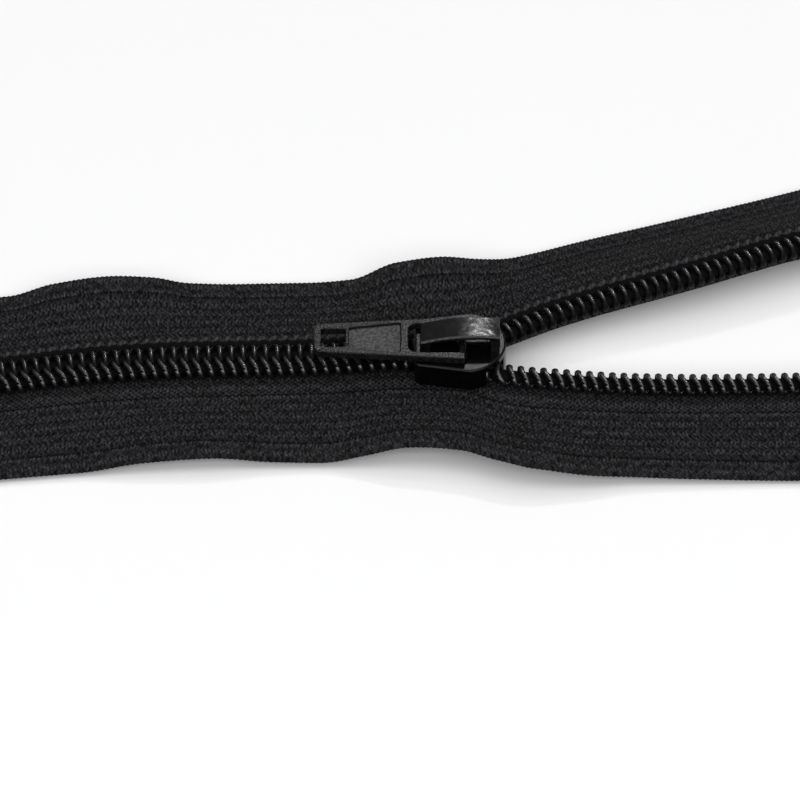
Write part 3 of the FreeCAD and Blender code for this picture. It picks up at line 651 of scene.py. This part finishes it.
def strands(word, side, part, low, high, follow):
    """The cord and the sewing threads of one side between two lengths."""
    s = np.arange(low, high, 0.08)
    # The threads rise (over is 1) and dip (over is -1) once for each turn of the wire.
    turn = 2 * np.pi * (s / PITCH - TURN_SHIFT[side] + side * 0.45)
    over = np.cos(turn)
    # Inside the slider they are tucked in and pressed down.
    tucked = np.exp(-(s / 6.0) ** 4)
    pressed = 0.08 * tucked
    coil_top = COIL_MID + COIL_HIGH / 2
    cord = strand(
        f"{word}_cord_{part}_part", side, s[::3], 0.96, COIL_MID, (0.86, 0.33), 16, CORD_PAINTED_SHADE
    )
    follow(cord)
    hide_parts(word + "_cord")
    # The needle threads drawn in the cord's material carry its painted shade.
    # Outward, height, half width and half height, and material of each needle thread.
    lines = {
        "inner": (0.9, coil_top - 0.3 + 0.05 * over - pressed, (0.07, 0.07), CORD_PAINTED_SHADE),
        "outer": (
            1.95 + 0.1 * np.sin(turn), coil_top - 0.5 + 0.3 * over - pressed, (0.12, 0.12), CORD_PAINTED_SHADE
        ),
    }
    # On the far side the inner thread is a flat dark band over the rear of the legs, a painted shadow
    # there, and the outer one shows as thick loops behind the coil.
    if side == FAR:
        lines = {
            "inner": (2.0 + 0.1 * np.sin(turn), coil_top + 0.03 * over - pressed, (0.32, 0.08), CORD_PAINTED_SHADE),
            "outer": (
                2.85 - 0.9 * tucked + 0.12 * np.sin(turn),
                coil_top - 0.5 + 0.34 * over - pressed, (0.34, 0.28), STITCH_PAINTED_LIGHT,
            ),
        }
    for line, (offset, height, half, material) in lines.items():
        needle = strand(
            f"{word}_{line}_needle_thread_{part}_part", side, s, offset, height, half,
            material=material,
        )
        follow(needle)
        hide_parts(f"{word}_{line}_needle_thread")
        looper = strand(
            f"{word}_{line}_looper_thread_{part}_part", side, s, offset, -0.06 + 0.03 * over,
            (0.09, 0.09),
        )
        follow(looper)
        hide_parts(f"{word}_{line}_looper_thread")


for side, word in ((FAR, "far"), (NEAR, "near")):
    strands(word, side, "closed", FIRST_S, 0.05, follow_closed)
    strands(word, side, "open", 0.0, LAST_S, follow_open)


# ---------------------------------------------------------------- hard parts
for node, material in (
    ("slider_body", BODY_PAINTED_SHADE), ("slider_crown", CROWN), ("pull_tab", PULL), ("lock_spring", STEEL),
    ("bottom_stop", STOP), ("far_top_stop", STOP), ("near_top_stop", STOP),
):
    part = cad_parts[node]
    part.data.materials.clear()
    part.data.materials.append(material)

# The sunk panels of the pull, above and below, are left sandy; its rails are smooth.
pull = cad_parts["pull_tab"]
pull.data.materials.append(PANEL)
heights = [v.co[2] for v in pull.data.vertices]
least_sunk = 0.00005
lowest, highest = min(heights) + least_sunk, max(heights) - least_sunk
for face in pull.data.polygons:
    level = abs(face.normal[2]) > 0.9
    sunk = lowest < face.center[2] < highest
    if level and sunk:
        face.material_index = 1


# ---------------------------------------------------------------- floor, light, camera
def stage_floor():
    """White paper, just under the zipper."""
    mesh = bpy.data.meshes.new("floor")
    reach, low = 3, -0.0003
    corners = [(-reach, -reach, low), (reach, -reach, low), (reach, reach, low), (-reach, reach, low)]
    mesh.from_pydata(corners, [], [(0, 1, 2, 3)])
    floor = bpy.data.objects.new("floor", mesh)
    bpy.context.scene.collection.objects.link(floor)
    n = Nodes("floor_paper")
    n.finish(Base_Color=(0.93, 0.93, 0.935), Roughness=0.9, Specular_IOR_Level=0.1)
    mesh.materials.append(n.material)


stage_floor()


def area_light(name, place, aim, size, power):
    """A rectangular lamp turned towards aim; size is its width and height."""
    data = bpy.data.lights.new(name, "AREA")
    data.shape = "RECTANGLE"
    data.size, data.size_y = size
    data.energy = power
    lamp = bpy.data.objects.new(name, data)
    bpy.context.scene.collection.objects.link(lamp)
    lamp.location = place
    lamp.rotation_euler = (Vector(aim) - Vector(place)).to_track_quat("-Z", "Y").to_euler()


# All lamps are aimed at the slider. The small one at the back lights the patch on the crown.
aim = in_row(0, 0, 2)
for name, right, behind, high, size, power in (
    ("front", 0, -0.62, 0.50, (2.0, 0.4), 6.4),
    ("top", 0, -0.15, 0.94, (2.2, 0.7), 6.2),
    ("high_back", 0, 0.42, 0.80, (1.2, 0.3), 1.4),
    ("back", 0.05, 0.51, 0.55, (0.10, 0.05), 0.8),
):
    area_light(name, (aim[0] + right, aim[1] + behind, high), aim, size, power)

world = bpy.data.worlds.new("studio")
bpy.context.scene.world = world
world.use_nodes = True
background = world.node_tree.nodes["Background"]
background.inputs["Color"].default_value = (1.0, 1.0, 1.0, 1.0)
background.inputs["Strength"].default_value = 0.12
bpy.context.scene.view_settings.view_transform = "Standard"
bpy.context.scene.view_settings.look = "None"

# The camera looks down at this angle, from this many metres away, at the middle of the view.
ELEVATION = math.radians(42.0)
DISTANCE = 0.66
target = Vector(in_row(-6.47, -8.7, 4.02))
camera_data = bpy.data.cameras.new("camera")
camera_data.lens = 275.0
camera_data.sensor_width = 36.0
camera_data.clip_start = 0.01
camera_data.clip_end = 10.0
camera = bpy.data.objects.new("camera", camera_data)
bpy.context.scene.collection.objects.link(camera)
bpy.context.scene.camera = camera
camera.location = target + Vector((0, -math.cos(ELEVATION), math.sin(ELEVATION))) * DISTANCE
camera.rotation_euler = (math.pi / 2 - ELEVATION, 0, 0)
